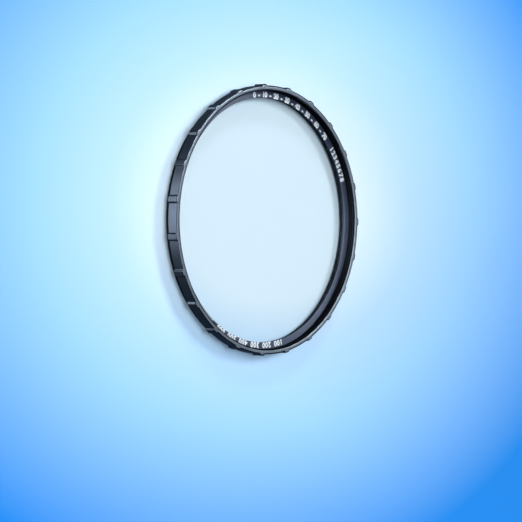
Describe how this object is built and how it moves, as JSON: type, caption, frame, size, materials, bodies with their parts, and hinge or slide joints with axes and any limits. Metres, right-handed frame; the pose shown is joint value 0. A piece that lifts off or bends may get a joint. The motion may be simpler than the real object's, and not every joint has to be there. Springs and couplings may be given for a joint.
{
  "type": "ultraviolet lens filter",
  "caption": "Screw-in ultraviolet lens filter: a thin black aluminium frame with grip lugs round its wall, threads on both faces, and a flat clear glass kept in by a slotted ring.",
  "frame": {"origin": "on the optical axis, in the plane of the frame's rear end face, on which the filter lies", "axes": "+Z along the optical axis, away from the lens, out of the front face; one grip lug is centred on +Y"},
  "size_m": [0.08, 0.0798, 0.0055],
  "materials": {
    "black_anodised_aluminium": "fine turned surface, matt black anodised, edges slightly brighter",
    "black_anodised_ring": "turned surface, matt black anodised",
    "coated_glass": "polished plane optical glass with a multilayer anti-reflection coating, ground rim"
  },
  "bodies": {
    "root": {"filter_frame": "black_anodised_aluminium", "filter_glass": "coated_glass", "retaining_ring": "black_anodised_ring"}
  },
  "joints": []
}
